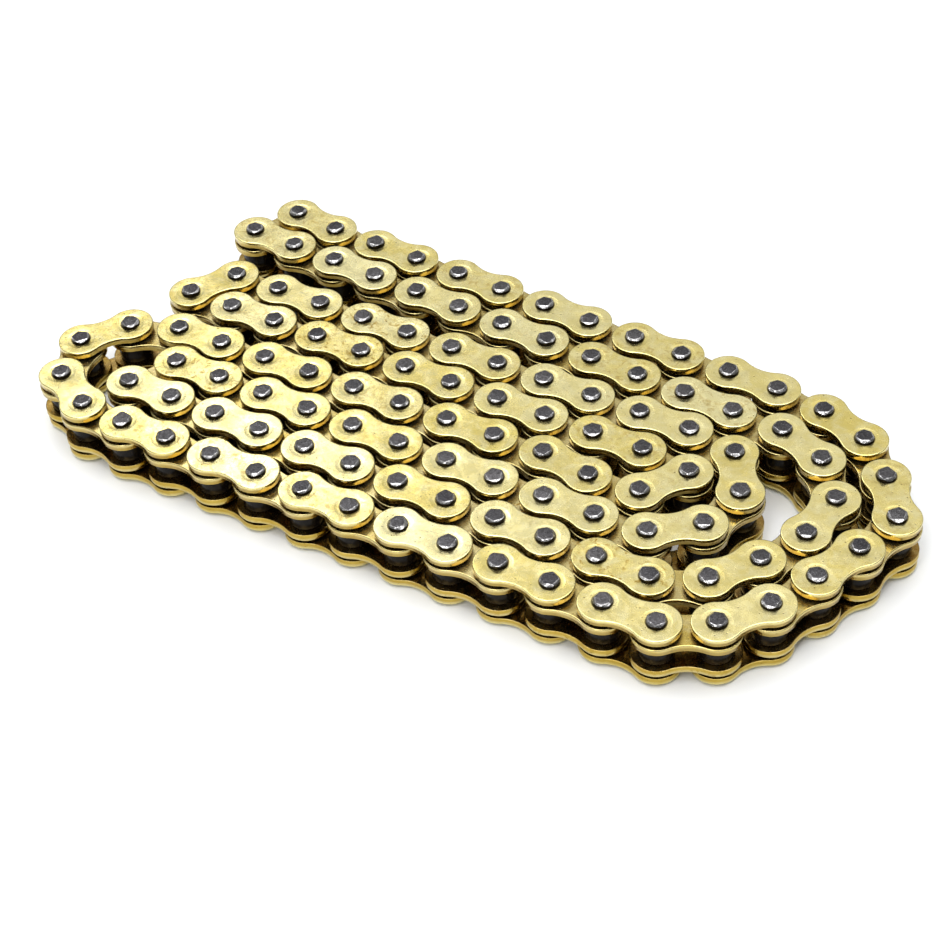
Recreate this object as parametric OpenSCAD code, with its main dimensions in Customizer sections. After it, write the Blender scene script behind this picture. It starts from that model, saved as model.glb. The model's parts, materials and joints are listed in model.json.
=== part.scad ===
// Motorcycle drive chain, 520 size with seal rings: an endless chain of 114 links, laid on its
// side and folded into eight rows. +Z up, rows along X, origin under the middle of the folded
// chain on the surface that it lies on. All sizes in millimetres.

/* [Chain] */
// Pitch, from pin to pin
pitch = 15.875; // [15.8:0.005:15.95]
// Width between the inner plates
inner_width = 6.45; // [6.3:0.05:6.6]
// Gap between an inner and an outer plate, which holds a seal ring
seal_gap = 1.2; // [1.0:0.05:1.4]

/* [Plates] */
// Thickness of every plate
plate_t = 2.2; // [1.8:0.1:2.4]
// Radius of the round ends of an inner plate
inner_plate_r = 7.2; // [6.8:0.05:7.3]
// Half height of an inner plate at its waist
inner_waist = 5.5; // [5:0.1:5.8]
// Radius of the round ends of an outer plate
outer_plate_r = 7.0; // [6.6:0.05:7.2]
// Half height of an outer plate at its waist
outer_waist = 5.2; // [4.8:0.1:5.6]

/* [Pins, bushings and rollers] */
// Diameter of a pin
pin_d = 5.2; // [5.0:0.05:5.3]
// Height that a pin stands proud of the outer plate
pin_proud = 1.25; // [0.8:0.05:1.6]
// Chamfer on the ends of a pin
pin_chamfer = 0.45; // [0.2:0.05:0.6]
// Running clearance between a pin and its bushing, on the radius
pin_play = 0.05; // [0.03:0.01:0.08]
// Outer diameter of a bushing
bushing_d = 7.0; // [6.8:0.05:7.2]
// Height that a bushing stands proud of the inner plate, inside the seal ring
bushing_proud = 0.4; // [0.2:0.1:0.6]
// Outer diameter of a roller
roller_d = 10.16; // [10:0.02:10.2]
// Clearance of a roller, on the bushing and at each end
roller_play = 0.1; // [0.06:0.01:0.12]
// Outer diameter of a seal ring
seal_d = 9.8; // [9.4:0.1:10.2]
// Clearance of a seal ring, on the bushing and under each plate
seal_play = 0.05; // [0.03:0.01:0.08]

/* [Hidden] */
$fn = 48;

// The route, as the heading of each link in degrees, from the first pin of the second row.
// A row keeps one heading, and each turn is a list of its own.
function row(links, heading) = [for (i = [1 : links]) heading];
SECOND_ROW = row(12, -1.5);
RIGHT_TURN_2 = [-21, -51, -96, -115, -125, -154];
SEVENTH_ROW = row(11, 181.5);
LEFT_HAIRPIN_7 = [62];
SIXTH_ROW = row(9, 1.5);
RIGHT_TURN_3 = [5, 39, 77, 122, 171];
THIRD_ROW = row(10, 181.5);
LEFT_HAIRPIN_3 = [240];
FOURTH_ROW = row(10, 1.5);
RIGHT_HAIRPIN_4 = [-6, 237, 185, 173];
FIFTH_ROW = row(8, 182.5);
LEFT_TURN = [201, 235, 287, 333, 357];
EIGHTH_ROW = row(11, 2);
RIGHT_TURN_1 = [29, 53, 66, 69, 74, 124, 136, 160, 173];
FIRST_ROW = row(10, 179);
HEADINGS = concat(
    SECOND_ROW, RIGHT_TURN_2, SEVENTH_ROW, LEFT_HAIRPIN_7, SIXTH_ROW, RIGHT_TURN_3, THIRD_ROW,
    LEFT_HAIRPIN_3, FOURTH_ROW, RIGHT_HAIRPIN_4, FIFTH_ROW, LEFT_TURN, EIGHTH_ROW, RIGHT_TURN_1,
    FIRST_ROW
);

function step(heading) = pitch * [cos(heading), sin(heading)];
LAST = len(HEADINGS);
WALKED = [
    for (i = 0, p = [0, 0]; i <= LAST; p = p + step(HEADINGS[min(i, LAST - 1)]), i = i + 1) p
];

// The last two links close the loop, with their shared pin one pitch from each end
function knee(a, c) =
    let (d = norm(c - a), t = (c - a) / d, h = sqrt(pitch * pitch - d * d / 4))
    (a + c) / 2 + h * [t[1], -t[0]];
LAID = concat(WALKED, [knee(WALKED[LAST], WALKED[0])]);
LINKS = len(LAID);

// The origin is under the middle of the folded chain
function column(axis) = [for (p = LAID) p[axis]];
function middle(values) = (min(values) + max(values)) / 2;
PINS = [for (p = LAID) p - [middle(column(0)), middle(column(1))]];

// Links with an even number are outer links, and those with an odd number are inner links.
// Link k runs from pin k to pin k + 1. The loop is opened at one pin, and the links before it
// are free to swing.
OPEN_PIN = 98;
FREE_LINKS = 15;
FIRST_FREE = OPEN_PIN - FREE_LINKS;
function is_free(k) = k >= FIRST_FREE && k < OPEN_PIN;
FOLDED_OUTER = [for (k = [0 : 2 : LINKS - 1]) if (!is_free(k)) k];
FOLDED_INNER = [for (k = [1 : 2 : LINKS - 1]) if (!is_free(k)) k];

// Heights, from the lower ends of the pins
lower_outer_z = pin_proud;
lower_inner_z = lower_outer_z + plate_t + seal_gap;
roller_z = lower_inner_z + plate_t;
upper_inner_z = roller_z + inner_width;
upper_outer_z = upper_inner_z + plate_t + seal_gap;
pin_len = upper_outer_z + plate_t + pin_proud;
stub_len = pin_proud + plate_t;

bushing_bore = pin_d / 2 + pin_play;
cut = 0.5;          // how far a cutter passes the faces that it cuts
waist_bite = 0.03;  // how far the waist cutter overlaps the round ends, where they would only touch

free_name = function (i) str("link_", i < 10 ? "0" : "", i);
INNER_PIECES = ["inner_plates", "bushings", "seal_rings", "roller_a", "roller_b"];
OUTER_PIECES = ["outer_plates", "pins"];
FREE_NODES = [
    for (i = [1 : FREE_LINKS]) for (piece = i % 2 == 1 ? INNER_PIECES : OUTER_PIECES)
        str(free_name(i), "_", piece)
];

PLATE_GOLD = "#cdb365";
PIN_STEEL = "#55545c";
BUSHING_STEEL = "#8d8d90";
ROLLER_BLACK = "#26262a";
SEAL_BLACK = "#111111";

// Puts its children on link k: origin on pin k, +X towards pin k + 1
module on_link(k) {
    a = PINS[k];
    b = PINS[(k + 1) % LINKS];
    translate([a[0], a[1], 0])
        rotate([0, 0, atan2(b[1] - a[1], b[0] - a[0])])
            children();
}

// Waisted plate with two holes: round ends of radius r, and a concave arc along each side
module plate(r, waist, hole_r) {
    half = pitch / 2;
    arc_r = (half * half + waist * waist - r * r) / (2 * (r - waist));
    meet_y = (waist + arc_r) * r / (r + arc_r);
    difference() {
        union() {
            cylinder(r = r, h = plate_t);
            translate([pitch, 0, 0]) cylinder(r = r, h = plate_t);
            translate([0, -meet_y, 0]) cube([pitch, 2 * meet_y, plate_t]);
        }
        for (side = [-1, 1])
            translate([half, side * (waist + arc_r), -cut])
                cylinder(r = arc_r + waist_bite, h = plate_t + 2 * cut);
        for (x = [0, pitch])
            translate([x, 0, -cut]) cylinder(r = hole_r, h = plate_t + 2 * cut);
    }
}

module plate_pair(r, waist, hole_r, lower_z, upper_z) {
    for (z = [lower_z, upper_z])
        translate([0, 0, z]) plate(r, waist, hole_r);
}

module outer_pair() {
    color(PLATE_GOLD)
        plate_pair(outer_plate_r, outer_waist, pin_d / 2, lower_outer_z, upper_outer_z);
}

module inner_pair() {
    color(PLATE_GOLD)
        plate_pair(inner_plate_r, inner_waist, bushing_d / 2, lower_inner_z, upper_inner_z);
}

module tube(outer_r, inner_r, height) {
    difference() {
        cylinder(r = outer_r, h = height);
        translate([0, 0, -cut]) cylinder(r = inner_r, h = height + 2 * cut);
    }
}

// Pin of one length, with a chamfer on each end
module pin(length) {
    r = pin_d / 2;
    color(PIN_STEEL)
        rotate_extrude()
            polygon([
                [0, 0], [r - pin_chamfer, 0], [r, pin_chamfer], [r, length - pin_chamfer],
                [r - pin_chamfer, length], [0, length]
            ]);
}

// The open pin has no middle: only its two ends are there, one in each outer plate
module pin_at(k) {
    if (k == OPEN_PIN) {
        pin(stub_len);
        translate([0, 0, pin_len - stub_len]) pin(stub_len);
    } else
        pin(pin_len);
}

module bushing() {
    color(BUSHING_STEEL)
        translate([0, 0, lower_inner_z - bushing_proud])
            tube(bushing_d / 2, bushing_bore, inner_width + 2 * plate_t + 2 * bushing_proud);
}

module roller() {
    color(ROLLER_BLACK)
        translate([0, 0, roller_z + roller_play])
            tube(roller_d / 2, bushing_d / 2 + roller_play, inner_width - 2 * roller_play);
}

// The seal rings above and below one bushing
module seal_ring_pair() {
    color(SEAL_BLACK)
        for (z = [lower_outer_z + plate_t, upper_inner_z + plate_t])
            translate([0, 0, z + seal_play])
                tube(seal_d / 2, bushing_d / 2 + seal_play, seal_gap - 2 * seal_play);
}

// Puts its children on both pins of link k
module on_both_pins(k) {
    on_link(k)
        for (x = [0, pitch])
            translate([x, 0, 0]) children();
}

module link_pins_of(k) {
    on_link(k) {
        pin_at(k);
        translate([pitch, 0, 0]) pin_at(k + 1);
    }
}

module outer_plates() { for (k = FOLDED_OUTER) on_link(k) outer_pair(); }
module inner_plates() { for (k = FOLDED_INNER) on_link(k) inner_pair(); }
module link_pins() { for (k = FOLDED_OUTER) link_pins_of(k); }
module bushings() { for (k = FOLDED_INNER) on_both_pins(k) bushing(); }
module rollers() { for (k = FOLDED_INNER) on_both_pins(k) roller(); }
module seal_rings() { for (k = FOLDED_INNER) on_both_pins(k) seal_ring_pair(); }

// One kind of piece of free link i, counted from the folded run towards the open pin
module free_piece(i, piece) {
    k = FIRST_FREE + i - 1;
    if (piece == "outer_plates") on_link(k) outer_pair();
    if (piece == "pins") link_pins_of(k);
    if (piece == "inner_plates") on_link(k) inner_pair();
    if (piece == "bushings") on_both_pins(k) bushing();
    if (piece == "seal_rings") on_both_pins(k) seal_ring_pair();
    if (piece == "roller_a") on_link(k) roller();
    if (piece == "roller_b") on_link(k) translate([pitch, 0, 0]) roller();
}

outer_plates();
inner_plates();
link_pins();
bushings();
rollers();
seal_rings();
for (i = [1 : FREE_LINKS], piece = i % 2 == 1 ? INNER_PIECES : OUTER_PIECES)
    free_piece(i, piece);
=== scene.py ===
"""Looks of a gold motorcycle drive chain that lies folded in rows. Blender 4.5, metres.

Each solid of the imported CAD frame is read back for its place, and a detailed piece of the same
size takes its place: waisted plates with rolled edges, peened pins, turned rollers and bushings,
and rubber seal rings. Shapes are designed in millimetres and scaled as they are placed."""

import json
import math
from collections import defaultdict
from itertools import pairwise

import bpy
import numpy as np
from mathutils import Matrix, Vector


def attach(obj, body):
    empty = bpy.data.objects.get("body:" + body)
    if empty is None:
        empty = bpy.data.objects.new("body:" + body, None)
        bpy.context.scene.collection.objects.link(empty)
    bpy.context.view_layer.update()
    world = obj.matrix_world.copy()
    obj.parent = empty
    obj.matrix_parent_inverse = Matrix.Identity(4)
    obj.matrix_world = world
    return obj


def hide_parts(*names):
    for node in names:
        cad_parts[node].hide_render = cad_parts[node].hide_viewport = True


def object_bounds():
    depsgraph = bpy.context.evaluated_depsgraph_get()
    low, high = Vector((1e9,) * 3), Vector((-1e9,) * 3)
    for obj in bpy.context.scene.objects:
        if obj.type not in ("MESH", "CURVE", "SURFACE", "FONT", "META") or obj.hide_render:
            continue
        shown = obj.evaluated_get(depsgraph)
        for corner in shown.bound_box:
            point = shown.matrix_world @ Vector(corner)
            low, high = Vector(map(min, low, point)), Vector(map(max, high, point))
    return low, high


MM = 0.001
SEED = 520
FOLDED = "folded_run"
ROWS = 8  # the folded run's plates are split into one piece a row

# Plates, in millimetres. waist is the half height there, coin_drop is how deep the riveting tool
# presses a ring round each pin, and the last entry is the share of painted brown shade on the
# outward face, which stands for the shade of the recess that an inner plate lies in
PLATES = {
    "outer_plates": {"waist": 5.2, "coin_drop": 0.05, "painted_shade": 0.0},
    "inner_plates": {"waist": 5.5, "coin_drop": 0.0, "painted_shade": 0.5},
}
ROLL_WIDTH, ROLL_DROP = 0.32, 0.24  # the rolled edge that stamping leaves on the outward face
ROLL_ANGLES = (22.5, 45, 67.5, 90)  # degrees round the rolled edge
BURR = 0.16  # the small rounding on the other face
BREAK_SHARE = 0.42  # the lower, broken part's share of a stamped edge
BREAK_STEP, BREAK_RISE = 0.05, 0.08  # how far in that part stands, and the height of the step
FLAT_MARGIN = 0.12  # a flat face's worn strip along its edge
COIN_R = 4.25  # the edge of the pressed ring
COIN_SLOPE_IN, COIN_SLOPE_OUT = 0.18, 0.22  # how wide its slope is, inside and outside that
HOLE_CHAMFER, HOLE_BURR = 0.22, 0.12  # on the outward face and on the other
ROUND_STEPS, WAIST_STEPS, MIDDLE_STEPS = 40, 5, 4  # round an end, half a waist, half the middle

# Pins, in millimetres
PIN_SEGMENTS = 40
STUB_LENGTH = 5.0  # a pin shorter than this is one end of the opened pin
STUB_CHAMFER = 0.3
PROUD = 1.25  # a pin's riveted end stands this far out of the outer plate
SHANK_GAP = 0.05  # and its plain length stops this far short of that
HEAD_FLARE = 0.19  # riveting spreads that end past the hole
HEAD_VARIANTS = 8
FACETS = (5, 8)  # from five to seven hammered facets round a head
FACET_REACH = (0.70, 0.82)  # shares of the head's radius at which a facet meets the flat top
FACET_SLOPE = (38, 48)  # degrees
FACET_JITTER = 0.22  # shares of the angle from one facet to the next
FACET_SIDE = 0.3  # the least cosine at which a facet still cuts the top
FACET_DEPTH = 0.1  # the least depth of a facet at the head's side
HEAD_TOP = 0.955  # the greatest share of the head's radius that its flat top takes
HEAD_TILT, HEAD_DISH = 0.07, 0.02  # the most that a top leans, as a slope, and is hollowed

# Rollers, bushings and seal rings, in millimetres
ROLLER_SEGMENTS, BUSHING_SEGMENTS, SEAL_SEGMENTS = 48, 32, 30
ROLLER_CHAMFER, ROLLER_LIP, ROLLER_CROWN = 0.35, 0.25, 0.03  # outside, in the bore, on the side
BUSHING_CHAMFER = 0.18
SEAL_LOBE = 0.16  # the share of a seal ring's half section that its four lobes stand out
SEAL_SIDES = 16

# Each piece's finish: how deep its gold is, how stained it is, and where its own pattern starts
TONE_MEAN, TONE_SPREAD = 0.45, 0.28
RUST_LEVELS, RUST_SHARES = [0.15, 0.35, 0.6, 1.0], [0.35, 0.35, 0.2, 0.1]
PATTERN_SHIFT = 40  # millimetres
SHARP_ANGLE = 35  # degrees between two faces at which their edge isn't shaded smooth

# The camera: it looks at a point given from the middle of the chain, at the height of the plates
CAMERA_AZIMUTH, CAMERA_ELEVATION, CAMERA_ROLL = 34.55, 44.80, -4.46
CAMERA_DISTANCE = 0.574
CAMERA_LENS = 76.8
CAMERA_AIM = Vector((0.0143, -0.0237, 0.0193))

# The studio: its brightness from the floor up and from the front to the back, as stops of a ramp
SKY_BY_HEIGHT = [(0.0, 0.20), (0.35, 0.24), (0.56, 0.69), (0.80, 0.81), (1.0, 0.85)]
SKY_BY_DEPTH = [(0.0, 0.22), (0.45, 0.30), (0.64, 1.0), (1.0, 1.0)]
SKY_BLUE = 0.99  # blue as a share of each grey
# Soft boxes: metres ahead of, right of and above the chain, the side in metres, and the radiance
SOFT_BOXES = {
    "overhead": ((-0.1, 0.0, 1.3), 1.4, 3.0),
    "back": ((0.77, -0.27, 0.97), 0.30, 4.0),
    "key": ((-0.75, -0.35, 0.90), 0.35, 8.5),
}
FLOOR_REACH, FLOOR_STEPS = 6.0, 48  # metres from the middle, and squares across

rng = np.random.default_rng(SEED)
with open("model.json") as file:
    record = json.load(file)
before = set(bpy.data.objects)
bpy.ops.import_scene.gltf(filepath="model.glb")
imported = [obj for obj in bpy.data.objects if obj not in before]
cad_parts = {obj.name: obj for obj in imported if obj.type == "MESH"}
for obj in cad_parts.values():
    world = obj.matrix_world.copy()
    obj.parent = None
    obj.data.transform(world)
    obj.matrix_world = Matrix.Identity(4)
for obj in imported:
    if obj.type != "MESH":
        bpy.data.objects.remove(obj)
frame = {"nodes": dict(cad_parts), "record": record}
cad_low, cad_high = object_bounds()


# ---------------------------------------------------------------- reading the CAD solids


def solids(node):
    """The separate solids of a CAD node, each as its triangles' corners: (n, 3, 3), in mm."""
    mesh = frame["nodes"][node].data
    mesh.calc_loop_triangles()
    points = np.empty(len(mesh.vertices) * 3)
    mesh.vertices.foreach_get("co", points)
    points = points.reshape(-1, 3) / MM
    corners = np.empty(len(mesh.loop_triangles) * 3, np.int32)
    mesh.loop_triangles.foreach_get("vertices", corners)
    _, same = np.unique(np.round(points, 3), axis=0, return_inverse=True)
    welded = same.ravel()[corners].reshape(-1, 3)
    label = np.arange(same.max() + 1)
    while True:
        lower = label.copy()
        np.minimum.at(lower, welded.ravel(), np.repeat(label[welded].min(1), 3))
        lower = lower[lower]
        if (lower == label).all():
            break
        label = lower
    group = label[welded[:, 0]]
    triangles = points[corners.reshape(-1, 3)]
    found = [triangles[group == g] for g in np.unique(group)]
    return sorted(found, key=lambda t: tuple(np.round(t.reshape(-1, 3).mean(0), 2)))


def long_axis(triangles, middle):
    """The angle about Z of a solid's long axis, from the second moments of its surface."""
    a, b, c = (triangles[:, i] - middle for i in range(3))
    area = np.linalg.norm(np.cross(b - a, c - a), axis=1) / 2
    centre = (a + b + c) / 3
    moment = np.zeros((3, 3))
    for p, weight in ((a, 1), (b, 1), (c, 1), (centre, 9)):
        moment += np.einsum("n,ni,nj->ij", area * weight / 12, p, p)
    return 0.5 * math.atan2(2 * moment[0, 1], moment[0, 0] - moment[1, 1])


def turn(points, angle):
    """Points turned about Z."""
    cos, sin = math.cos(angle), math.sin(angle)
    x, y, z = points.T
    return np.stack([x * cos - y * sin, x * sin + y * cos, z], 1)


class Solid:
    """Where one CAD solid is, how it lies, and its radii as seen from its middle."""

    def __init__(self, triangles):
        points = triangles.reshape(-1, 3)
        low, high = points.min(0), points.max(0)
        self.middle = (low + high) / 2
        self.bottom, self.height = low[2], high[2] - low[2]
        self.angle = long_axis(triangles, self.middle)
        reach = np.hypot(points[:, 0] - self.middle[0], points[:, 1] - self.middle[1])
        self.inner_r, self.outer_r = reach.min(), reach.max()
        turned = turn(points - self.middle, -self.angle)
        self.length, self.width = np.ptp(turned[:, 0]), np.ptp(turned[:, 1])


# An outer plate's holes hold pins, and an inner plate's hold bushings
HOLE_R = {
    "outer_plates": Solid(solids("link_02_pins")[0]).outer_r,
    "inner_plates": Solid(solids("link_01_bushings")[0]).outer_r,
}


# ---------------------------------------------------------------- shapes of one piece, in mm


class Shape:
    """A mesh being built. Each point has marks for the materials: edge is how much of a worn edge
    it is, wall how much of a side wall, eye how far it is from its hole's axis, and the last mark how
    much painted brown shade it takes."""

    MARKS = ("edge", "wall", "eye", "painted_shade")

    def __init__(self):
        self.points, self.faces = [], []
        self.marks = {mark: [] for mark in self.MARKS}

    def ring(self, points, edge=0.0, wall=0.0, eye=0.0, painted_shade=0.0):
        """Adds a ring of points with their marks, and returns the points' numbers."""
        start = len(self.points)
        self.points += [tuple(p) for p in points]
        for mark, value in zip(self.MARKS, (edge, wall, eye, painted_shade), strict=True):
            self.marks[mark] += list(np.broadcast_to(value, len(points)))
        return list(range(start, len(self.points)))

    def band(self, lower, upper, keep=None):
        """Faces between two rings of the same count. keep says which gaps get a face."""
        count = len(lower)
        for i in range(count):
            j = (i + 1) % count
            if keep is None or keep[i]:
                self.faces.append((lower[i], lower[j], upper[j], upper[i]))

    def skin(self, rings, keep=None, flip=False):
        """Bands from each ring to the next. flip turns their faces over."""
        for lower, upper in pairwise(rings):
            if flip:
                lower, upper = upper, lower
            self.band(lower, upper, keep)

    def cap(self, ring, point):
        """A fan of triangles from a ring to one point."""
        centre = self.ring([point])[0]
        for i in range(len(ring)):
            self.faces.append((ring[i], ring[(i + 1) % len(ring)], centre))

    def done(self):
        """Welds points that coincide, and turns the lists into arrays."""
        points = np.array(self.points, float)
        rounded = np.round(points, 4)
        _, first, same = np.unique(rounded, axis=0, return_index=True, return_inverse=True)
        self.points = points[first]
        self.marks = {mark: np.array(values, float)[first] for mark, values in self.marks.items()}
        self.counts = np.array([len(face) for face in self.faces], np.int32)
        self.corners = same.ravel()[np.concatenate(self.faces)].astype(np.int32)
        return self


def round_angles(count):
    """Angles evenly round a circle."""
    return np.arange(count) * 2 * math.pi / count


def unit_circle(count):
    """Flat points evenly round a circle of radius 1."""
    angles = round_angles(count)
    return np.stack([np.cos(angles), np.sin(angles)], 1)


def at_height(flat, z):
    """Flat points lifted to one height, or each to its own."""
    return np.column_stack([flat, np.broadcast_to(z, len(flat))])


def plate_outline(half, r, waist):
    """Half a plate, seen from the middle of its hole: its points, their outward normals and whether
    each is on the outline, or else on the line across the plate's middle."""
    arc_r = (half**2 + waist**2 - r**2) / (2 * (r - waist))
    arc_y = waist + arc_r
    tangent = math.atan2(arc_y, -half)
    points, normals = [], []
    for a in np.linspace(-tangent, tangent, ROUND_STEPS):
        normal = np.array([math.cos(a), math.sin(a)])
        points.append(normal * r)
        normals.append(normal)
    start = math.atan2(-r * math.sin(tangent) + arc_y, half + r * math.cos(tangent))
    waist_points, waist_normals = [], []
    for a in np.linspace(start, math.pi / 2, WAIST_STEPS + 1)[1:]:
        inward = np.array([math.cos(a), -math.sin(a)])
        waist_points.append(np.array([0.0, arc_y]) + inward * arc_r - np.array([half, 0.0]))
        waist_normals.append(-inward)
    middle = [np.array([-half, y]) for y in np.linspace(waist, -waist, 2 * MIDDLE_STEPS + 1)[1:-1]]
    points += waist_points + middle + [p * [1, -1] for p in reversed(waist_points)]
    normals += waist_normals + [np.zeros(2)] * len(middle)
    normals += [n * [1, -1] for n in reversed(waist_normals)]
    on_edge = [True] * (ROUND_STEPS + WAIST_STEPS) + [False] * len(middle) + [True] * WAIST_STEPS
    return np.array(points), np.array(normals), np.array(on_edge)


def plate_wall(thick):
    """A stamped edge from the rolled face down: how far in, how high, and the marks edge and wall."""
    broken = BREAK_SHARE * thick
    rolled = [
        (ROLL_WIDTH * (1 - math.sin(a)), thick - ROLL_DROP * (1 - math.cos(a)), 1.0, 0.15)
        for a in np.radians(ROLL_ANGLES)
    ]
    return rolled + [
        (0.0, broken, 0.1, 1.0),
        (BREAK_STEP, broken - BREAK_RISE, 0.0, 1.0),
        (BREAK_STEP, BURR, 0.1, 1.0),
        (BREAK_STEP + 0.3 * BURR, 0.3 * BURR, 0.6, 0.8),
        (BREAK_STEP + BURR, 0.0, 0.6, 0.2),
    ]


def plate_shape(length, width, thick, hole_r, waist, coin_drop, painted_shade):
    """A stamped plate, rolled edge up, from its hole walls out to its edge, about its middle."""
    shape = Shape()
    half = (length - width) / 2
    outline, normals, on_edge = plate_outline(half, width / 2, waist)
    gaps = on_edge & np.roll(on_edge, -1)
    middle_y = outline[:, 1] * (1 - ROLL_WIDTH / waist)

    def inset(distance):
        """The outline moved in, with the line across the middle kept between its ends."""
        moved = outline - normals * distance
        moved[~on_edge, 1] = middle_y[~on_edge]
        return moved

    rim = inset(ROLL_WIDTH)
    outward = rim / np.linalg.norm(rim, axis=1)[:, None]

    def add(end, flat, z, edge=0.0, wall=0.0):
        """A ring round the hole at one end of the plate, 1 or -1, seen from the hole's middle."""
        placed = at_height((flat + [half, 0.0]) * end, z)
        # Painted shade: in full on the inward face between the plates, and the plate's share of it on the
        # outward face, but none on the side walls
        shade_share = painted_shade * (1 - wall) if z > 0 else 1.0
        return shape.ring(placed, edge, wall, np.linalg.norm(flat, axis=1), shade_share)

    for end in (1, -1):
        coined = thick - coin_drop
        face = [
            add(end, outward * hole_r, HOLE_BURR, 0.0, 1.0),
            add(end, outward * hole_r, coined - HOLE_CHAMFER, 0.3, 1.0),
            add(end, outward * (hole_r + HOLE_CHAMFER), coined, 0.5),
            add(end, outward * (COIN_R - COIN_SLOPE_IN), coined),
            add(end, outward * COIN_R, thick - 0.3 * coin_drop, 0.25),
            add(end, outward * (COIN_R + COIN_SLOPE_OUT), thick),
            add(end, inset(ROLL_WIDTH + FLAT_MARGIN), thick, 0.1),
            add(end, rim, thick, 0.5),
        ]
        side = [add(end, inset(step), z, edge, wall) for step, z, edge, wall in plate_wall(thick)]
        under = [
            add(end, inset(BREAK_STEP + BURR + FLAT_MARGIN), 0.0, 0.1),
            add(end, outward * (hole_r + HOLE_BURR), 0.0, 0.3),
        ]
        shape.skin(face)
        shape.skin([face[-1], *side], keep=gaps)
        shape.skin([side[-1], *under, face[0]])
    return shape.done()


def peened_head(shape, base_ring, r, z, direction, draw):
    """The riveted end of a pin: a flat top, cut round its edge by a few hammered facets."""
    count = int(draw.integers(*FACETS))
    facing = np.arange(count) + draw.uniform(-FACET_JITTER, FACET_JITTER, count)
    facing = facing * 2 * math.pi / count
    reach = r * draw.uniform(*FACET_REACH, count)
    slope = math.tan(math.radians(draw.uniform(*FACET_SLOPE)))
    crease, tilt = draw.uniform(0, 2 * math.pi), draw.uniform(0.0, HEAD_TILT)
    off = np.cos(round_angles(PIN_SEGMENTS)[:, None] - facing[None, :])
    cuts = np.where(off > FACET_SIDE, reach / np.maximum(off, FACET_SIDE), np.inf)
    top_r = np.minimum(cuts.min(1), r * HEAD_TOP)
    drop = np.maximum(((r * off - reach) * slope).max(1), FACET_DEPTH)
    outward = unit_circle(PIN_SEGMENTS)

    def ring(radius, depth, edge, wall=0.0):
        """A ring this far below the top. It leans as the top does, unless it is on the wall."""
        flat = outward * np.reshape(radius, (-1, 1))
        lean = np.maximum(flat @ [math.cos(crease), math.sin(crease)], 0) * tilt
        height = z - direction * (np.maximum(depth, 0) + lean * (1 - wall))
        return shape.ring(at_height(flat, height), edge, wall, radius)

    rings = [
        base_ring,
        ring(r - 0.03, PROUD + 0.03, 0.0, 1.0),  # at the plate's face
        ring(r, PROUD - 0.12, 0.0, 1.0),
        ring(r, drop + 0.07, 0.2, 1.0),  # where each facet leaves the side
        ring(r - 0.04, drop - 0.02, 1.0, 0.3),
        ring(top_r + 0.05, 0.07, 1.0),  # where each facet meets the top
        ring(top_r - 0.03, 0.01, 0.8),
        ring(top_r * 0.9, 0.0, 0.0),
        ring(top_r * 0.45, draw.uniform(0.0, HEAD_DISH), 0.0),
    ]
    shape.skin(rings, flip=direction < 0)
    shape.cap(rings[-1][::direction], (0, 0, z - direction * 0.01))


def pin_shape(r, length, draw):
    """A pin on its axis, up from z = 0, riveted at both ends, or a stub, riveted at its top."""
    shape = Shape()
    outward = unit_circle(PIN_SEGMENTS)

    def ring(radius, z, edge, wall):
        return shape.ring(at_height(outward * radius, z), edge, wall, radius)

    stub = length < STUB_LENGTH
    low = ring(r, STUB_CHAMFER if stub else PROUD + SHANK_GAP, 0, 1)
    high = ring(r, length - PROUD - SHANK_GAP, 0, 1)
    shape.band(low, high)
    peened_head(shape, high, r + HEAD_FLARE, length, 1, draw)
    if stub:
        rings = [low, ring(r - STUB_CHAMFER, 0.0, 1, 0), ring(r * 0.5, 0.0, 0, 0)]
        shape.skin(rings, flip=True)
        shape.cap(rings[-1][::-1], (0, 0, 0))
    else:
        peened_head(shape, low, r + HEAD_FLARE, 0.0, -1, draw)
    return shape.done()


def lathe(profile, segments):
    """A turned ring. profile is a closed walk of (radius, height, edge, wall), anticlockwise."""
    shape = Shape()
    outward = unit_circle(segments)
    rings = [shape.ring(at_height(outward * r, z), edge, wall, r) for r, z, edge, wall in profile]
    shape.skin([*rings, rings[0]])
    return shape.done()


def mirrored(lower, height):
    """A whole profile from its lower half."""
    return lower + [(r, height - z, edge, wall) for r, z, edge, wall in reversed(lower)]


def roller_shape(inner_r, outer_r, height):
    """A turned roller: chamfered ends, and a side that is very slightly crowned."""
    chamfer, edge_r = ROLLER_CHAMFER, outer_r - ROLLER_CROWN
    lower = [
        (inner_r, chamfer, 0, 0),
        (inner_r + ROLLER_LIP, 0.0, 0.6, 0),
        (edge_r - chamfer, 0.0, 0.8, 0),
        (edge_r - 0.3 * chamfer, 0.3 * chamfer, 1, 0),
        (edge_r, chamfer, 0.8, 1),
        (outer_r, 0.3 * height, 0, 1),
    ]
    return lathe(mirrored(lower, height), ROLLER_SEGMENTS)


def bushing_shape(inner_r, outer_r, height):
    """A plain bushing with a chamfer inside and outside each end."""
    chamfer = BUSHING_CHAMFER
    lower = [
        (inner_r, chamfer, 0, 0),
        (inner_r + chamfer, 0.0, 0.8, 0),
        (outer_r - chamfer, 0.0, 1, 0),
        (outer_r, chamfer, 0.6, 0),
    ]
    return lathe(mirrored(lower, height), BUSHING_SEGMENTS)


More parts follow.
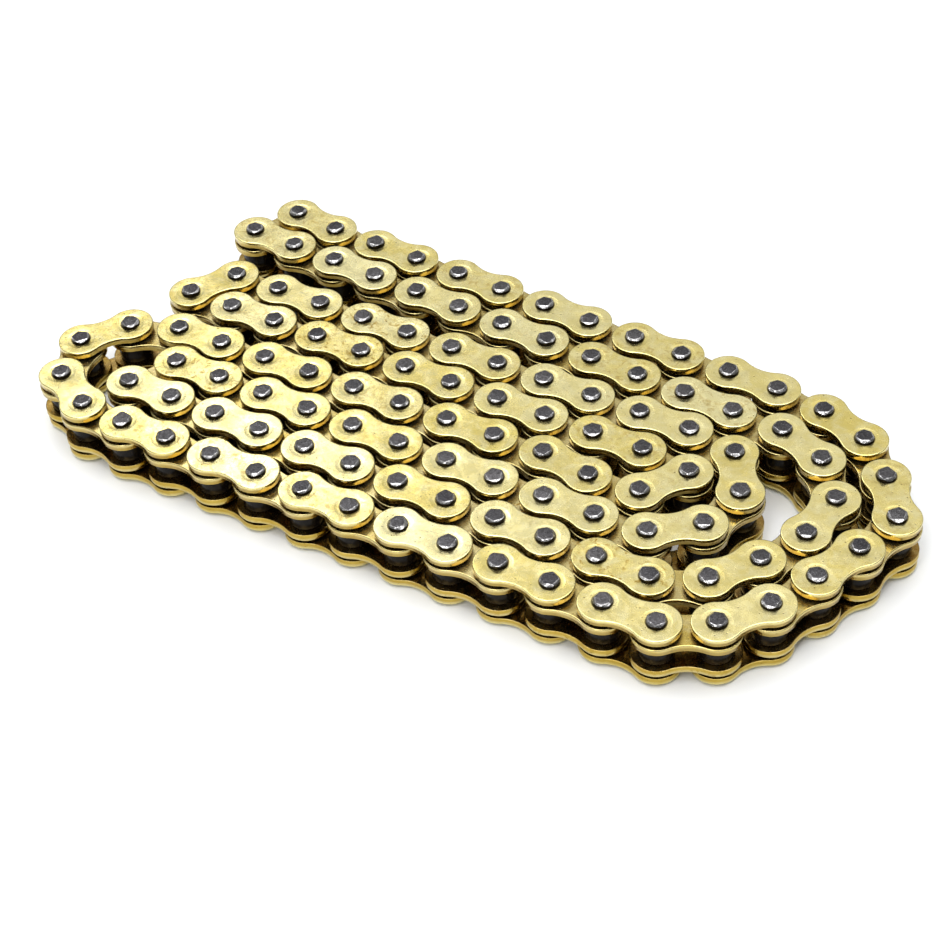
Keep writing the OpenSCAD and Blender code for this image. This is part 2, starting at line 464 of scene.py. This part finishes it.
def seal_shape(inner_r, outer_r, height):
    """A rubber ring whose section has four soft lobes."""
    middle_r, half_width, half_height = (inner_r + outer_r) / 2, (outer_r - inner_r) / 2, height / 2
    profile = []
    for i in range(SEAL_SIDES):
        a = -math.pi / 2 + i * 2 * math.pi / SEAL_SIDES
        lobe = 1 + SEAL_LOBE * (abs(math.sin(2 * a)) - 1)
        r = middle_r + half_width * math.cos(a) * lobe
        profile.append((r, half_height + half_height * math.sin(a) * lobe, 0, 0))
    return lathe(profile, SEAL_SEGMENTS)


# ---------------------------------------------------------------- one mesh from many placed shapes


class Batch:
    """Pieces that are shown as one object: placed copies of shapes."""

    def __init__(self):
        self.parts = defaultdict(list)
        self.size = 0

    def place(self, shape, solid, angle, flip, tone, rust):
        """Adds a shape where the solid is. flip turns it over, so that its upper face points down."""
        points = shape.points
        if flip:
            points = points * [1, -1, -1] + [0, 0, solid.height]
        moved = turn(points, angle) + [solid.middle[0], solid.middle[1], solid.bottom]
        shift = rng.uniform(-PATTERN_SHIFT, PATTERN_SHIFT, 3) * [0, 0, 1]  # along the axis only
        self.parts["points"].append(moved * MM)
        self.parts["own"].append(shape.points + shift)
        self.parts["tone"].append(np.full(len(moved), tone))
        self.parts["rust"].append(np.full(len(moved), rust))
        self.parts["corners"].append(shape.corners + self.size)
        self.parts["counts"].append(shape.counts)
        for mark, values in shape.marks.items():
            self.parts[mark].append(values)
        self.size += len(moved)

    def build(self, name, node, body, slot, material):
        """Makes the object, which stands for the CAD node."""
        made = {key: np.concatenate(values) for key, values in self.parts.items()}
        mesh = bpy.data.meshes.new(name)
        mesh.vertices.add(len(made["points"]))
        mesh.vertices.foreach_set("co", made["points"].astype(np.float32).ravel())
        mesh.loops.add(len(made["corners"]))
        mesh.loops.foreach_set("vertex_index", made["corners"].astype(np.int32))
        mesh.polygons.add(len(made["counts"]))
        starts = np.concatenate([[0], np.cumsum(made["counts"])[:-1]])
        mesh.polygons.foreach_set("loop_start", starts.astype(np.int32))
        mesh.polygons.foreach_set("loop_total", made["counts"].astype(np.int32))
        mesh.update(calc_edges=True)
        mesh.validate()
        mesh.polygons.foreach_set("use_smooth", np.ones(len(mesh.polygons), bool))
        mesh.set_sharp_from_angle(angle=math.radians(SHARP_ANGLE))
        own = mesh.attributes.new("own", "FLOAT_VECTOR", "POINT")
        own.data.foreach_set("vector", made["own"].astype(np.float32).ravel())
        for mark in ("tone", "rust", *Shape.MARKS):
            attribute = mesh.attributes.new(mark, "FLOAT", "POINT")
            attribute.data.foreach_set("value", made[mark].astype(np.float32))
        mesh.materials.append(material)
        piece = bpy.data.objects.new(name, mesh)
        bpy.context.scene.collection.objects.link(piece)
        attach(piece, body)
        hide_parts(node)


# ---------------------------------------------------------------- materials


def rgb(red, green, blue):
    return (red, green, blue, 1.0)


class Nodes:
    """Short calls for making the nodes of one node tree."""

    def __init__(self, tree):
        self.tree = tree

    def feed(self, socket, value):
        """Links another node's output to a socket, or sets the socket to a constant."""
        if isinstance(value, bpy.types.NodeSocket):
            self.tree.links.new(value, socket)
        else:
            socket.default_value = value

    def node(self, kind, inputs=(), **settings):
        made = self.tree.nodes.new(kind)
        for key, value in settings.items():
            setattr(made, key, value)
        for key, value in dict(inputs).items():
            self.feed(made.inputs[key], value)
        return made

    def calc(self, operation, a, b=0.0, clamp=False):
        settings = {"operation": operation, "use_clamp": clamp}
        return self.node("ShaderNodeMath", {0: a, 1: b}, **settings).outputs[0]

    def along(self, operation, vector, other):
        """The vector scaled by a number, multiplied by a vector, or its dot product with one."""
        inputs = {0: vector, "Scale" if operation == "SCALE" else 1: other}
        made = self.node("ShaderNodeVectorMath", inputs, operation=operation)
        return made.outputs["Value" if operation == "DOT_PRODUCT" else "Vector"]

    def mix(self, share, a, b, blend="MIX"):
        inputs = {0: share, 6: a, 7: b}  # the factor and the two colours
        settings = {"data_type": "RGBA", "blend_type": blend}
        return self.node("ShaderNodeMix", inputs, **settings).outputs[2]

    def span(self, value, low, high, to_low=0.0, to_high=1.0):
        """The value eased from one range to another."""
        inputs = {"Value": value, "From Min": low, "From Max": high, "To Min": to_low, "To Max": to_high}
        return self.node("ShaderNodeMapRange", inputs, interpolation_type="SMOOTHSTEP").outputs["Result"]

    def ramp(self, factor, stops):
        """A grey ramp, from stops of (place, value)."""
        made = self.node("ShaderNodeValToRGB", {"Fac": factor})
        elements = made.color_ramp.elements
        while len(elements) < len(stops):
            elements.new(0.5)
        for element, (place, value) in zip(elements, stops, strict=True):
            element.position = place
            element.color = (value, value, value * SKY_BLUE, 1.0)
        return made.outputs["Color"]


class Paint(Nodes):
    """A node material on one Principled shader. Its patterns have scales per millimetre, and its
    bumps distances in millimetres."""

    def __init__(self, name, **settings):
        self.material = bpy.data.materials.new(name)
        self.material.use_nodes = True
        super().__init__(self.material.node_tree)
        self.shader = self.tree.nodes["Principled BSDF"]
        self.wire(**settings)

    def wire(self, **sockets):
        """Feeds the shader's sockets, named with _ for each space."""
        for name, value in sockets.items():
            self.feed(self.shader.inputs[name.replace("_", " ")], value)
        return self.material

    def mark(self, name):
        out = "Vector" if name == "own" else "Fac"
        return self.node("ShaderNodeAttribute", attribute_name=name).outputs[out]

    def place(self):
        """Millimetres in the chain's frame, so that no two pieces carry the same pattern."""
        return self.along("SCALE", self.node("ShaderNodeTexCoord").outputs["Object"], 1 / MM)

    def stretched(self, vector, scale):
        return self.along("MULTIPLY", vector, scale)

    def noise(self, vector, scale, detail=2.0, roughness=0.5, distortion=0.0):
        inputs = {"Vector": vector, "Scale": scale, "Detail": detail}
        inputs.update({"Roughness": roughness, "Distortion": distortion})
        return self.node("ShaderNodeTexNoise", inputs).outputs["Fac"]

    def cells(self, vector, scale):
        """The distance to the nearest of many scattered points."""
        return self.node("ShaderNodeTexVoronoi", {"Vector": vector, "Scale": scale}).outputs["Distance"]

    def bump(self, height, distance, strength=1.0, normal=None):
        inputs = {"Height": height, "Distance": distance * MM, "Strength": strength}
        if normal is not None:
            inputs["Normal"] = normal
        return self.node("ShaderNodeBump", inputs).outputs["Normal"]


def plate_gold():
    """Brass-coloured plating, hazy and handled: stains, specks, scratches and worn edges, with
    painted shade on the side walls and between the plates, and painted shadow with grease round each pin.
    """
    pale, deep, hazed = rgb(0.93, 0.835, 0.43), rgb(0.79, 0.635, 0.165), rgb(0.94, 0.885, 0.55)
    stained, grained, specked = rgb(0.40, 0.26, 0.05), rgb(0.64, 0.52, 0.15), rgb(0.12, 0.07, 0.02)
    # The last two colours here are painted light: brown shade between the plates, and a contact shadow
    # with grease round each pin
    worn, shade_brown, shadow_and_grease = rgb(0.91, 0.84, 0.40), rgb(0.24, 0.125, 0.022), rgb(0.10, 0.065, 0.02)
    # Painted shade and painted reflection on the side walls, from dark to light
    wall_shade_dark, wall_shade_light = rgb(0.31, 0.175, 0.018), rgb(0.52, 0.385, 0.070)

    paint = Paint("plate_gold", Metallic=1.0)
    where, own = paint.place(), paint.mark("own")
    tone, rust, edge, wall = (paint.mark(m) for m in ("tone", "rust", "edge", "wall"))
    haze = paint.noise(where, 0.22, 4.0, 0.6, 0.6)
    cloud = paint.noise(where, 0.55, 5.0, 0.65, 0.8)
    grain = paint.noise(where, 2.6, 2.0, 0.5)
    stain = paint.calc("MULTIPLY", paint.span(cloud, 0.50, 0.66), rust)
    speck_patches = paint.span(paint.noise(where, 1.7, 1.0), 0.50, 0.56)
    speck = paint.calc("MULTIPLY", paint.span(paint.cells(where, 0.62), 0.17, 0.10), speck_patches)
    wear = paint.calc("MULTIPLY", paint.span(edge, 0.45, 1.0), paint.span(cloud, 0.35, 0.6, 0.3, 0.85))
    # Painted brown shade between the plates, in patches
    painted_shade = paint.calc("MULTIPLY", paint.mark("painted_shade"), paint.span(cloud, 0.2, 0.7, 0.65, 0.95))
    # A ring of painted contact shadow with grease round each pin
    shadow_and_grease_ring = paint.span(paint.mark("eye"), 3.2, 2.95)  # round a pin, in mm from its axis

    colour = paint.mix(tone, pale, deep)
    colour = paint.mix(paint.span(haze, 0.35, 0.7, 0.0, 0.5), colour, hazed)
    colour = paint.mix(stain, colour, stained)
    colour = paint.mix(paint.span(grain, 0.35, 0.75, 0.0, 0.14), colour, grained)
    colour = paint.mix(paint.calc("MULTIPLY", speck, 0.9), colour, specked)
    colour = paint.mix(wear, colour, worn)
    # The side walls are painted darker amber: painted shade, and painted reflection of the dark recesses
    # they face
    wall_shade = paint.mix(haze, wall_shade_dark, wall_shade_light)
    colour = paint.mix(paint.calc("MULTIPLY", wall, 0.95), colour, wall_shade)
    # Painted brown shade on the faces between the plates
    colour = paint.mix(painted_shade, colour, shade_brown)
    # Painted contact shadow with grease round each pin
    colour = paint.mix(paint.calc("MULTIPLY", shadow_and_grease_ring, 0.85), colour, shadow_and_grease)

    smear = paint.noise(where, 0.3, 2.0, 0.5, 0.6)
    roughness = paint.span(smear, 0.3, 0.75, 0.21, 0.31)
    roughness = paint.calc("ADD", roughness, paint.span(grain, 0.35, 0.8, -0.02, 0.04))
    roughness = paint.calc("ADD", roughness, paint.calc("MULTIPLY", stain, 0.14))
    roughness = paint.calc("ADD", roughness, paint.calc("MULTIPLY", wall, -0.10), clamp=True)

    dents = paint.noise(where, 0.33, 1.0, 0.4, 0.4)
    scratch_a = paint.noise(paint.stretched(own, (0.5, 8.0, 1.0)), 1.0, 2.0, 0.5, 0.35)
    scratch_b = paint.noise(paint.stretched(where, (7.0, 0.6, 1.0)), 1.0, 2.0, 0.5, 0.8)
    shear = paint.noise(paint.stretched(where, (5.0, 5.0, 0.25)), 1.0, 2.0, 0.6)
    normal = paint.bump(dents, 0.10, 0.4)
    normal = paint.bump(grain, 0.006, 0.4, normal)
    normal = paint.bump(paint.span(scratch_a, 0.70, 0.76), 0.006, 0.4, normal)
    normal = paint.bump(paint.span(scratch_b, 0.72, 0.77), 0.008, 0.5, normal)
    normal = paint.bump(paint.calc("MULTIPLY", shear, wall), 0.06, 0.8, normal)
    normal = paint.bump(speck, -0.04, 0.8, normal)
    return paint.wire(Base_Color=colour, Roughness=roughness, Normal=normal)


def pin_steel():
    """Dark case-hardened steel, pitted on the riveted face and polished on its hammered facets."""
    dark, light, blackened = rgb(0.050, 0.050, 0.057), rgb(0.125, 0.120, 0.126), rgb(0.040, 0.036, 0.037)
    pitted, polished, shaded = rgb(0.30, 0.295, 0.30), rgb(0.86, 0.85, 0.85), rgb(0.012, 0.009, 0.007)

    paint = Paint("pin_steel", Metallic=1.0)
    where = paint.place()
    tone, edge, wall = (paint.mark(m) for m in ("tone", "edge", "wall"))
    mottle = paint.noise(where, 1.1, 4.0, 0.65, 0.5)
    pits = paint.noise(where, 4.5, 3.0, 0.7)
    bright = paint.calc("MULTIPLY", paint.span(edge, 0.5, 0.95), paint.span(mottle, 0.42, 0.60, 1.0, 0.25))
    colour = paint.mix(tone, dark, light)
    colour = paint.mix(paint.span(mottle, 0.35, 0.75), colour, blackened)
    colour = paint.mix(paint.span(pits, 0.50, 0.72, 0.0, 0.6), colour, pitted)
    colour = paint.mix(bright, colour, polished)
    colour = paint.mix(wall, colour, shaded)
    roughness = paint.span(mottle, 0.3, 0.7, 0.24, 0.40)
    roughness = paint.calc("SUBTRACT", roughness, paint.calc("MULTIPLY", bright, 0.10))
    normal = paint.bump(mottle, 0.20, 0.5)
    normal = paint.bump(pits, 0.06, 0.7, normal)
    return paint.wire(Base_Color=colour, Roughness=roughness, Normal=normal)


def turned_steel(name, dark, light, smooth, rough, **settings):
    """Turned steel: fine rings round its side, a patchy finish and brighter edges."""
    shine = rgb(*(min(3.0 * channel, 0.7) for channel in light[:3]))

    paint = Paint(name, **settings)
    where, own = paint.place(), paint.mark("own")
    tone, edge, wall = (paint.mark(m) for m in ("tone", "edge", "wall"))
    patch = paint.noise(where, 0.5, 4.0, 0.6, 0.6)
    lines = paint.noise(paint.stretched(own, (0.05, 0.05, 7.0)), 1.0, 3.0, 0.7)
    fine = paint.noise(where, 3.0, 3.0, 0.6)
    colour = paint.mix(paint.span(patch, 0.3, 0.75), dark, light)
    colour = paint.mix(paint.calc("MULTIPLY", tone, 0.4), colour, light)
    colour = paint.mix(paint.span(edge, 0.4, 1.0, 0.0, 0.5), colour, shine)
    roughness = paint.span(patch, 0.3, 0.7, smooth, rough)
    roughness = paint.calc("ADD", roughness, paint.span(lines, 0.3, 0.8, -0.03, 0.06), clamp=True)
    normal = paint.bump(paint.calc("MULTIPLY", lines, wall), 0.02, 0.6)
    normal = paint.bump(fine, 0.015, 0.5, normal)
    return paint.wire(Base_Color=colour, Roughness=roughness, Normal=normal)


def bushing_steel():
    """Bright turned steel."""
    dark, light = rgb(0.20, 0.19, 0.18), rgb(0.32, 0.31, 0.30)
    return turned_steel("bushing_steel", dark, light, 0.28, 0.42, Metallic=1.0)


def roller_black():
    """Black oxide under a film of grease, which hides the metal."""
    dark, light = rgb(0.004, 0.0035, 0.003), rgb(0.016, 0.012, 0.009)
    finish = {"Metallic": 0.0, "Specular_IOR_Level": 0.1}
    return turned_steel("roller_black", dark, light, 0.07, 0.16, **finish)


def seal_rubber():
    """Greasy black nitrile rubber."""
    dark, light = rgb(0.008, 0.008, 0.008), rgb(0.026, 0.021, 0.015)

    paint = Paint("seal_rubber", Metallic=0.0)
    where = paint.place()
    smear, fine = paint.noise(where, 0.45, 4.0, 0.6, 0.5), paint.noise(where, 4.0, 2.0)
    colour = paint.mix(paint.span(smear, 0.35, 0.7), dark, light)
    roughness = paint.span(smear, 0.3, 0.7, 0.28, 0.62)
    return paint.wire(Base_Color=colour, Roughness=roughness, Normal=paint.bump(fine, 0.03, 0.6))


def floor_white():
    """A pale matt studio floor."""
    paint = Paint("floor_white", Metallic=0.0)
    faint = paint.noise(paint.place(), 0.004, 3.0)
    colour = paint.mix(paint.span(faint, 0.3, 0.7), rgb(0.93, 0.945, 0.96), rgb(0.96, 0.97, 0.98))
    return paint.wire(Base_Color=colour, Roughness=paint.span(faint, 0.3, 0.7, 0.65, 0.75))


# ---------------------------------------------------------------- making every piece

# Each of the record's material slots has the function of its name
FINISHES = (plate_gold, pin_steel, bushing_steel, roller_black, seal_rubber)
MATERIALS = {finish.__name__: finish() for finish in FINISHES}
SLOTS = {part["node"]: part["material_slot"] for part in frame["record"]["subparts"]}
BODIES = frame["record"]["behaviour"]["bodies"]
BODY_OF = {node: body for body, nodes in BODIES.items() for node in nodes}
TURNED = {"rollers": roller_shape, "bushings": bushing_shape, "seal_rings": seal_shape}
MIDDLE_Z = (cad_low[2] + cad_high[2]) / 2 / MM
shapes = {}


def kind_of(node):
    """What a node's solids are, whichever link they belong to."""
    if "roller" in node:
        return "rollers"
    return next(kind for kind in (*PLATES, *TURNED, "pins") if node.endswith(kind))


def shapes_of(kind, solid, draw):
    """The shapes that stand for a solid of this kind and size: one, or a pin's variants."""
    if kind in PLATES:
        size = (solid.length, solid.width, solid.height)
        return [plate_shape(*size, HOLE_R[kind], **PLATES[kind])]
    if kind == "pins":
        return [pin_shape(solid.outer_r, solid.height, draw) for _ in range(HEAD_VARIANTS)]
    return [TURNED[kind](solid.inner_r, solid.outer_r, solid.height)]


def shape_for(kind, solid):
    """One of the solid's shapes. Solids of one kind and size share them."""
    key = (kind, round(solid.height, 2), round(solid.outer_r, 1))
    if key not in shapes:
        shapes[key] = shapes_of(kind, solid, np.random.default_rng(SEED + len(shapes)))
    return shapes[key][int(rng.integers(len(shapes[key])))]


def row_of(solid):
    """The row of the folded run that a solid is in, from 1 at the front."""
    share = (solid.middle[1] * MM - cad_low[1]) / (cad_high[1] - cad_low[1])
    return 1 + min(int(share * ROWS), ROWS - 1)


def make_node(node):
    """Every solid of a CAD node as detailed pieces. The folded run's plates are split by row."""
    kind, body = kind_of(node), BODY_OF[node]
    plates = kind in PLATES
    split = body == FOLDED and plates
    batches = defaultdict(Batch)
    for triangles in solids(node):
        solid = Solid(triangles)
        angle = solid.angle if plates else rng.uniform(0, 2 * math.pi)
        if plates and rng.random() < 0.5:
            angle += math.pi
        stub = kind == "pins" and solid.height < STUB_LENGTH
        lower = solid.middle[2] <= MIDDLE_Z
        flip = lower if plates or stub else bool(rng.random() < 0.5)
        tone = float(np.clip(rng.normal(TONE_MEAN, TONE_SPREAD), 0, 1))
        rust = float(rng.choice(RUST_LEVELS, p=RUST_SHARES))
        batch = batches[row_of(solid) if split else 1]
        batch.place(shape_for(kind, solid), solid, angle, flip, tone, rust)
    for row, batch in sorted(batches.items()):
        name = f"{node}_row_{row}" if split else f"{node}_piece"
        batch.build(name, node, body, SLOTS[node], MATERIALS[SLOTS[node]])


for node in sorted(frame["nodes"]):
    make_node(node)


# ---------------------------------------------------------------- floor, light and camera


def lay_floor():
    """A wide flat floor of 25 cm squares, at the height of the chain's lowest point."""
    across = FLOOR_STEPS + 1
    line = np.linspace(-FLOOR_REACH, FLOOR_REACH, across)
    points = [(x, y, float(cad_low[2])) for y in line for x in line]
    starts = [row * across + i for row in range(FLOOR_STEPS) for i in range(FLOOR_STEPS)]
    mesh = bpy.data.meshes.new("floor")
    mesh.from_pydata(points, [], [(n, n + 1, n + across + 1, n + across) for n in starts])
    mesh.materials.append(floor_white())
    floor = bpy.data.objects.new("floor", mesh)
    bpy.context.scene.collection.objects.link(floor)


def ahead_of_camera(forward, right, up):
    """A point ahead of, right of and above the chain, as the camera's place sees it."""
    a = math.radians(CAMERA_AZIMUTH)
    ahead, side = Vector((-math.sin(a), math.cos(a), 0)), Vector((math.cos(a), math.sin(a), 0))
    return ahead * forward + side * right + Vector((0, 0, up))


def soft_light(name, place, side, radiance):
    """A square soft box that faces the chain. radiance is what a mirror would show of it."""
    data = bpy.data.lights.new(name, "AREA")
    data.size = side
    data.energy = radiance * math.pi * side * side
    light = bpy.data.objects.new(name, data)
    light.location = place
    light.rotation_mode = "QUATERNION"
    light.rotation_quaternion = (-place).to_track_quat("-Z", "Y")
    light.visible_camera = False
    bpy.context.scene.collection.objects.link(light)


def light_scene():
    """A studio that is bright above and behind the chain, dim below and in front, with soft boxes."""
    world = bpy.data.worlds.new("studio")
    bpy.context.scene.world = world
    world.use_nodes = True
    sky = Nodes(world.node_tree)
    where = sky.node("ShaderNodeTexCoord").outputs["Generated"]
    height = sky.node("ShaderNodeSeparateXYZ", {0: where}).outputs["Z"]
    depth = sky.calc("ADD", sky.along("DOT_PRODUCT", where, ahead_of_camera(0.5, 0, 0)), 0.5)
    colour = sky.mix(1.0, sky.ramp(height, SKY_BY_HEIGHT), sky.ramp(depth, SKY_BY_DEPTH), "MULTIPLY")
    sky.feed(world.node_tree.nodes["Background"].inputs["Color"], colour)
    for name, (place, side, radiance) in SOFT_BOXES.items():
        soft_light(name, ahead_of_camera(*place), side, radiance)


def place_camera():
    """The camera, turned by its azimuth, its elevation and then its roll."""
    data = bpy.data.cameras.new("camera")
    data.lens = CAMERA_LENS
    data.clip_start, data.clip_end = 0.02, 50.0
    camera = bpy.data.objects.new("camera", data)
    a, e, roll = (math.radians(v) for v in (CAMERA_AZIMUTH, CAMERA_ELEVATION, CAMERA_ROLL))
    back = Vector((math.sin(a) * math.cos(e), -math.cos(a) * math.cos(e), math.sin(e)))
    right = Vector((math.cos(a), math.sin(a), 0))
    up = back.cross(right)
    x = right * math.cos(roll) + up * math.sin(roll)
    y = up * math.cos(roll) - right * math.sin(roll)
    turned = Matrix((x, y, back)).transposed().to_4x4()
    camera.matrix_world = Matrix.Translation(CAMERA_AIM + back * CAMERA_DISTANCE) @ turned
    bpy.context.scene.collection.objects.link(camera)
    bpy.context.scene.camera = camera


lay_floor()
light_scene()
place_camera()
bpy.context.scene.view_settings.view_transform = "Standard"
